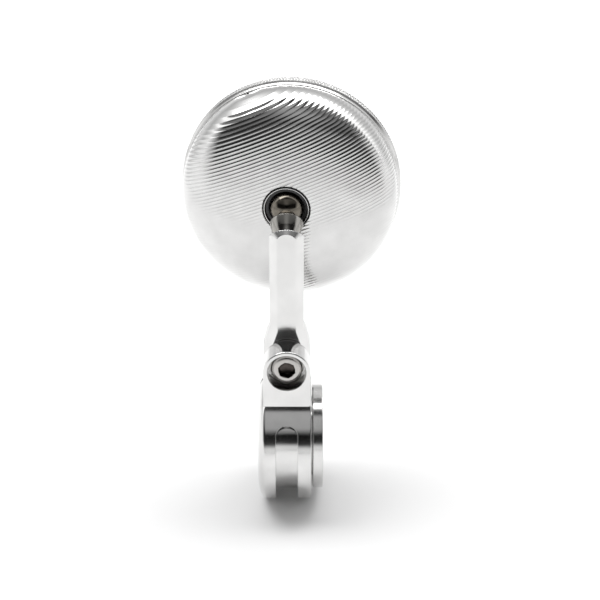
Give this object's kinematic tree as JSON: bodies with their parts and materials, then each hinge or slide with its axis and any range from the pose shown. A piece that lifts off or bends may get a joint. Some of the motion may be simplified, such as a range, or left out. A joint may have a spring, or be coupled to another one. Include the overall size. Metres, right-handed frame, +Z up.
{
  "type": "bar-end bicycle mirror",
  "caption": "Round convex mirror in a domed metal housing on a ball joint, carried by a straight square arm that swings in a split ring clamp for a bicycle handlebar.",
  "frame": {"origin": "centre of the handlebar bore, on the bar's axis and on the clamp groove's middle plane", "axes": "+X along the bar towards the sleeve's flange, +Y from the back of the mirror to its glass, +Z up along the arm"},
  "size_m": [0.0711, 0.0585, 0.1315],
  "materials": {
    "clamp_aluminium": "polished and clear anodised",
    "arm_aluminium": "polished and clear anodised",
    "sleeve_aluminium": "fine turned, clear anodised",
    "dome_aluminium": "scalloped by a ball-nose cutter, polished",
    "bezel_aluminium": "knurled band with a smooth lip, clear anodised",
    "bolt_steel": "stainless, satin",
    "washer_steel": "stainless, satin",
    "insert_steel": "stainless, turned",
    "stud_steel": "hardened and polished",
    "cup_steel": "turned",
    "spring_steel": "spring steel, oiled",
    "plate_steel": "zinc plated",
    "screw_steel": "zinc plated",
    "bush_bronze": "sintered bronze",
    "seat_acetal": "black acetal, turned",
    "front_washer_nylon": "black nylon",
    "rear_washer_nylon": "black nylon",
    "liner_ptfe": "white low-friction plastic",
    "cup_liner_ptfe": "off-white low-friction plastic",
    "tray_plastic": "black moulded plastic",
    "adhesive_foam": "double-sided foam pad",
    "mirror_glass": "convex silvered glass",
    "gasket_rubber": "black rubber"
  },
  "bodies": {
    "clamp": {"clamp_body": "clamp_aluminium", "reducing_sleeve": "sleeve_aluminium", "pinch_bolt": "bolt_steel", "bolt_washer": "washer_steel", "thread_insert": "insert_steel", "front_friction_washer": "front_washer_nylon", "rear_friction_washer": "rear_washer_nylon"},
    "arm": {"arm": "arm_aluminium", "pivot_bush": "bush_bronze", "ball_stud": "stud_steel"},
    "pan_liner": {"ball_liner": "liner_ptfe"},
    "tilt_liner": {"cup_liner": "cup_liner_ptfe"},
    "head": {"mirror_housing": "dome_aluminium", "seat_ring": "seat_acetal", "pressure_cup": "cup_steel", "preload_spring": "spring_steel", "retainer_plate": "plate_steel", "plate_screw_1": "screw_steel", "plate_screw_2": "screw_steel", "plate_screw_3": "screw_steel", "glass_tray": "tray_plastic", "adhesive_pad": "adhesive_foam", "mirror_glass": "mirror_glass", "glass_gasket": "gasket_rubber", "bezel": "bezel_aluminium"}
  },
  "joints": [
    {"name": "arm_swing", "type": "hinge", "parent": "clamp", "child": "arm", "pos_m": [0, 0.0026, 0.0294], "axis": [0, 1, 0], "range_deg": [-80, 80]},
    {"name": "head_pan", "type": "hinge", "parent": "arm", "child": "pan_liner", "pos_m": [0, 0.0134, 0.0754], "axis": [0, 0, 1], "range_deg": [-14, 14]},
    {"name": "head_tilt", "type": "hinge", "parent": "pan_liner", "child": "tilt_liner", "pos_m": [0, 0.0134, 0.0754], "axis": [1, 0, 0], "range_deg": [-3, 40]},
    {"name": "head_spin", "type": "hinge", "parent": "tilt_liner", "child": "head", "pos_m": [0, 0.0134, 0.0754], "axis": [0.0698, 0.9976, 0], "continuous": true}
  ]
}
